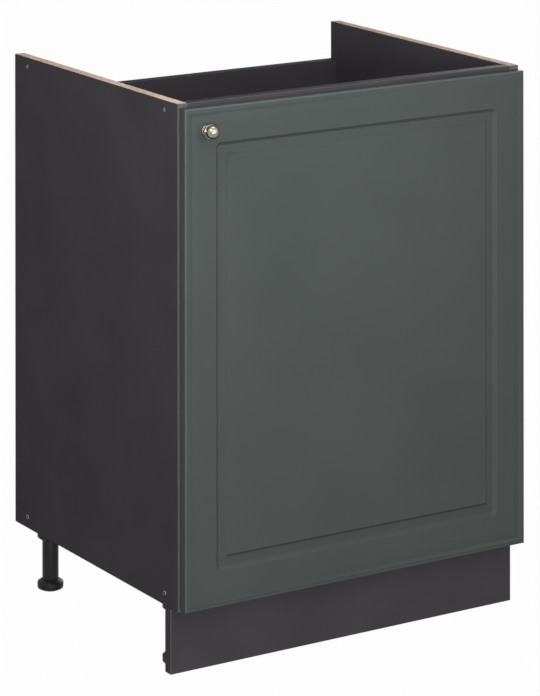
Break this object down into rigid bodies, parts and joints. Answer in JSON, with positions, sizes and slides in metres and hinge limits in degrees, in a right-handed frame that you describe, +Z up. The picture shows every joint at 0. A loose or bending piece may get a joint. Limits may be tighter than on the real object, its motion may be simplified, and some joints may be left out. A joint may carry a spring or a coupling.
{
  "type": "sink base cabinet",
  "caption": "Open-topped floor cabinet for a kitchen sink: dark board carcass on adjustable legs, plinth, one hinged raised-panel door with a small knob.",
  "frame": {"origin": "centre of the bounding box's footprint, on the floor", "axes": "+Z up, -Y out of the door towards the user, +X to the right seen from the front"},
  "size_m": [0.6, 0.533, 0.82],
  "materials": {
    "carcass_board": "dark graphite melamine with a fine matt structure, raw chipboard on the edges without a band",
    "edge_band": "dark graphite plastic edge band, satin",
    "door_board": "grey-green satin foil on moulded fibreboard",
    "black_plastic": "black moulded plastic",
    "grey_plastic": "grey moulded plastic",
    "clear_plastic": "clear soft plastic",
    "nickel": "warm satin nickel",
    "steel": "nickel-plated pressed steel"
  },
  "bodies": {
    "carcass": {"back_rail": "carcass_board", "bottom_panel": "carcass_board", "bottom_screw_left_front": "steel", "bottom_screw_left_rear": "steel", "bottom_screw_right_front": "steel", "bottom_screw_right_rear": "steel", "edge_band_back_rail": "edge_band", "edge_band_bottom": "edge_band", "edge_band_front_rail": "edge_band", "edge_band_left": "edge_band", "edge_band_right": "edge_band", "front_rail": "carcass_board", "hinge_arm_lower": "steel", "hinge_arm_pin_lower": "steel", "hinge_arm_pin_upper": "steel", "hinge_arm_screw_lower": "steel", "hinge_arm_screw_upper": "steel", "hinge_arm_upper": "steel", "hinge_plate_lower": "steel", "hinge_plate_upper": "steel", "hole_cap_left_front": "grey_plastic", "hole_cap_left_rear": "grey_plastic", "hole_cap_right_front": "grey_plastic", "hole_cap_right_rear": "grey_plastic", "leg_socket_left_front": "black_plastic", "leg_socket_left_rear": "black_plastic", "leg_socket_right_front": "black_plastic", "leg_socket_right_rear": "black_plastic", "leg_tube_left_front": "black_plastic", "leg_tube_left_rear": "black_plastic", "leg_tube_right_front": "black_plastic", "leg_tube_right_rear": "black_plastic", "plinth_board": "carcass_board", "plinth_clip_left": "black_plastic", "plinth_clip_right": "black_plastic", "rail_bolt_left_back": "steel", "rail_bolt_left_front": "steel", "rail_bolt_right_back": "steel", "rail_bolt_right_front": "steel", "rail_cam_left_back": "steel", "rail_cam_left_front": "steel", "rail_cam_right_back": "steel", "rail_cam_right_front": "steel", "side_panel_left": "carcass_board", "side_panel_right": "carcass_board"},
    "hinge_links": {"hinge_link_lower": "steel", "hinge_link_upper": "steel"},
    "door": {"door_bumper_lower": "clear_plastic", "door_bumper_upper": "clear_plastic", "door_panel": "door_board", "hinge_cup_lower": "steel", "hinge_cup_pin_lower": "steel", "hinge_cup_pin_upper": "steel", "hinge_cup_upper": "steel", "knob": "nickel", "knob_screw": "steel"},
    "foot_left_front": {"leg_foot_left_front": "black_plastic"},
    "foot_left_rear": {"leg_foot_left_rear": "black_plastic"},
    "foot_right_front": {"leg_foot_right_front": "black_plastic"},
    "foot_right_rear": {"leg_foot_right_rear": "black_plastic"}
  },
  "joints": [
    {"name": "hinge_link_swing", "type": "hinge", "parent": "carcass", "child": "hinge_links", "pos_m": [0.263, -0.215, 0.4583], "axis": [0, 0, 1], "range_deg": [-45, 0]},
    {"name": "door_swing", "type": "hinge", "parent": "hinge_links", "child": "door", "pos_m": [0.286, -0.226, 0.4583], "axis": [0, 0, 1], "range_deg": [0, 150]},
    {"name": "foot_height_left_front", "type": "slide", "parent": "carcass", "child": "foot_left_front", "axis": [0, 0, -1], "range_m": [0, 0.02]},
    {"name": "foot_height_left_rear", "type": "slide", "parent": "carcass", "child": "foot_left_rear", "axis": [0, 0, -1], "range_m": [0, 0.02]},
    {"name": "foot_height_right_front", "type": "slide", "parent": "carcass", "child": "foot_right_front", "axis": [0, 0, -1], "range_m": [0, 0.02]},
    {"name": "foot_height_right_rear", "type": "slide", "parent": "carcass", "child": "foot_right_rear", "axis": [0, 0, -1], "range_m": [0, 0.02]}
  ],
  "couplings": [
    {"joint": "hinge_link_swing", "follows": "door_swing", "ratio": -0.3}
  ]
}
